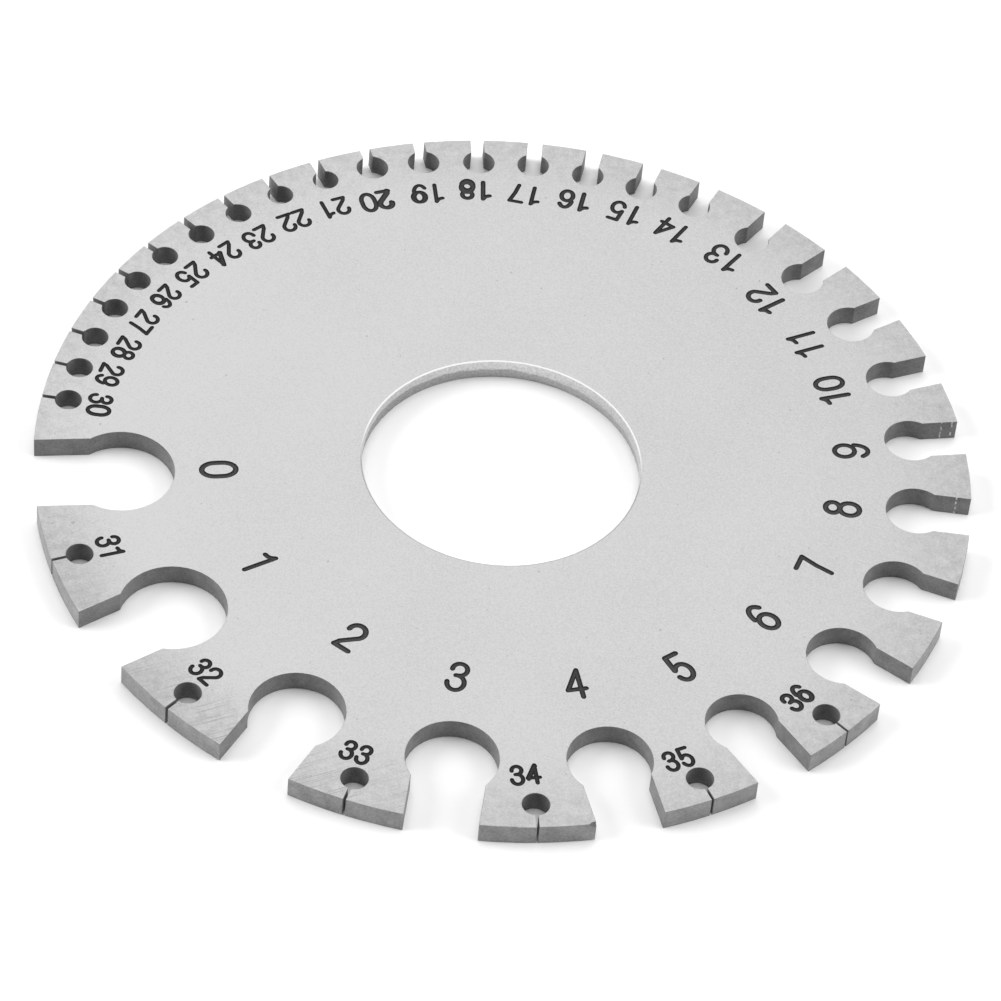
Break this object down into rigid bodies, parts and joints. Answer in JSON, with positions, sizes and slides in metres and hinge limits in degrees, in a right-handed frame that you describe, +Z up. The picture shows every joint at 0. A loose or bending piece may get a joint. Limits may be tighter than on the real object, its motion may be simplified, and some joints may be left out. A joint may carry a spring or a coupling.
{
  "type": "wire gauge plate",
  "caption": "Round flat steel gauge plate for sheet and wire: numbered slots around the rim, each a parallel mouth ending in a round relief, and a plain centre hole.",
  "frame": {"origin": "centre of the plate, on its underside", "axes": "+Z up through the centre hole, out of the numbered face; +Y towards the slot for gauge 17"},
  "size_m": [0.08, 0.08, 0.002],
  "materials": {
    "plate_steel": "satin ground",
    "number_fill": "matt"
  },
  "bodies": {
    "root": {"gauge_plate": "plate_steel"}
  },
  "joints": []
}
